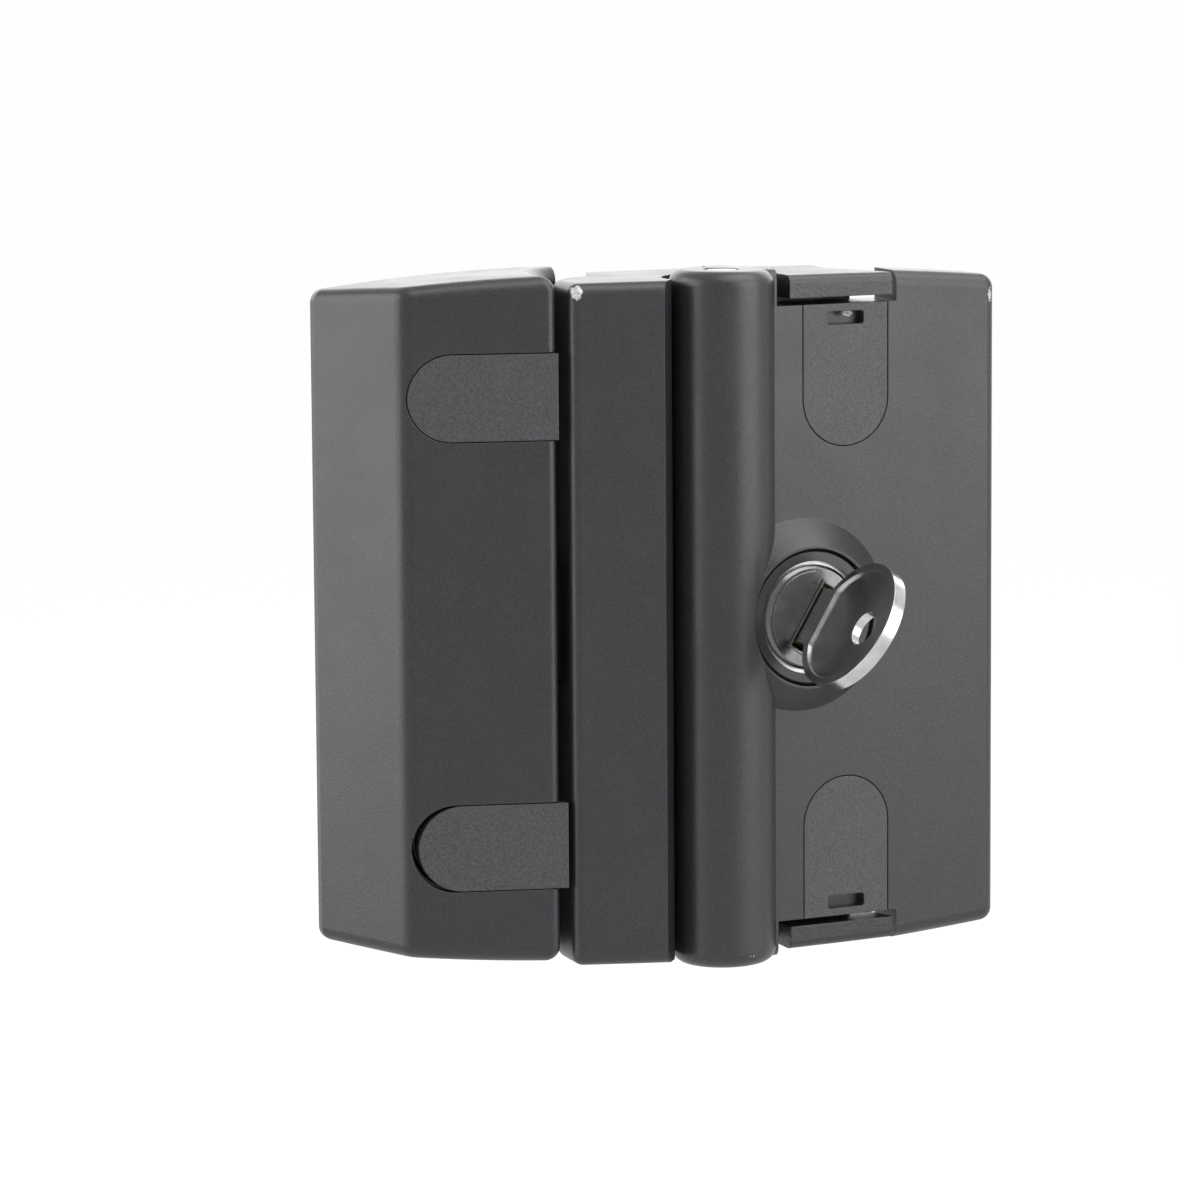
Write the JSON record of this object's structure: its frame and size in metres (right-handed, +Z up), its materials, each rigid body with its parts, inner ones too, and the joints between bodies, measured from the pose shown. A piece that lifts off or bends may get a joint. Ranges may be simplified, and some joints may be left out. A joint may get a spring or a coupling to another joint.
{
  "type": "surface-mounted lock",
  "caption": "Surface-mounted lock for a slotted-rail door: black keeper and lock base, hinged grip flap that draws back the spring latch, and a key cylinder in the flap.",
  "frame": {"origin": "centre of the lock base's back plane, on the groove line of the door rail, at half height", "axes": "+X towards the grip flap's free edge, +Y into the rails behind, +Z up along the rails"},
  "size_m": [0.0976, 0.0528, 0.0982],
  "materials": {
    "keeper_coat": "fine-textured black powder coat with small chips at the edges",
    "base_coat": "fine-textured black powder coat with small chips at the edges",
    "flap_coat": "fine-textured black powder coat with small chips at the edges",
    "keeper_cap_plastic": "grained black moulding",
    "flap_cap_plastic": "grained black moulding",
    "collar_enamel": "gloss black enamel",
    "plated_steel": "zinc-plated steel",
    "screw_steel": "zinc-plated steel with a dull sheen",
    "spring_steel": "drawn spring wire",
    "latch_zinc": "bare zinc casting, lightly greased",
    "cylinder_nickel": "nickel plate, turned",
    "plug_nickel": "satin nickel plate with fine scratches",
    "wafer_brass": "stamped brass",
    "key_nickel": "nickel plate, worn bright at the rim"
  },
  "bodies": {
    "housing": {"keeper_housing": "keeper_coat", "keeper_cap_upper": "keeper_cap_plastic", "keeper_cap_lower": "keeper_cap_plastic", "keeper_screw_upper": "screw_steel", "keeper_screw_lower": "screw_steel", "strike_plate": "plated_steel", "strike_screws": "screw_steel", "lock_base": "base_coat", "mounting_plate": "plated_steel", "mounting_screw_upper": "screw_steel", "mounting_screw_lower": "screw_steel", "base_screw_upper": "screw_steel", "base_screw_lower": "screw_steel", "hinge_pin": "plated_steel", "pin_set_screws": "screw_steel"},
    "latch": {"latch_bolt": "latch_zinc", "latch_springs": "spring_steel"},
    "flap": {"grip_flap": "flap_coat", "flap_cap_upper": "flap_cap_plastic", "flap_cap_lower": "flap_cap_plastic", "release_lever_upper": "plated_steel", "release_lever_lower": "plated_steel", "cylinder_collar": "collar_enamel", "cylinder_body": "cylinder_nickel", "cylinder_clip": "plated_steel"},
    "plug": {"cylinder_plug": "plug_nickel", "plug_wafers": "wafer_brass", "cam_tongue": "plated_steel", "cam_screw": "screw_steel"},
    "key_body": {"key": "key_nickel"}
  },
  "joints": [
    {"name": "flap_swing", "type": "hinge", "parent": "housing", "child": "flap", "pos_m": [-0.0015, -0.0175, 0], "axis": [0, 0, -1], "range_deg": [0, 30], "stiffness_Nm_per_rad": 0.25, "springref_deg": -19.48},
    {"name": "latch_slide", "type": "slide", "parent": "housing", "child": "latch", "axis": [1, 0, 0], "range_m": [0, 0.00625], "deforming": ["latch_springs"]},
    {"name": "plug_turn", "type": "hinge", "parent": "flap", "child": "plug", "pos_m": [0.0097, -0.0194, 0], "axis": [-0.1045, 0.9945, 0], "range_deg": [-32, 28]},
    {"name": "key_withdraw", "type": "slide", "parent": "plug", "child": "key_body", "axis": [0.1045, -0.9945, 0], "range_m": [0, 0.025]}
  ],
  "couplings": [
    {"joint": "latch_slide", "follows": "flap_swing", "m_per_rad": 0.011863}
  ]
}
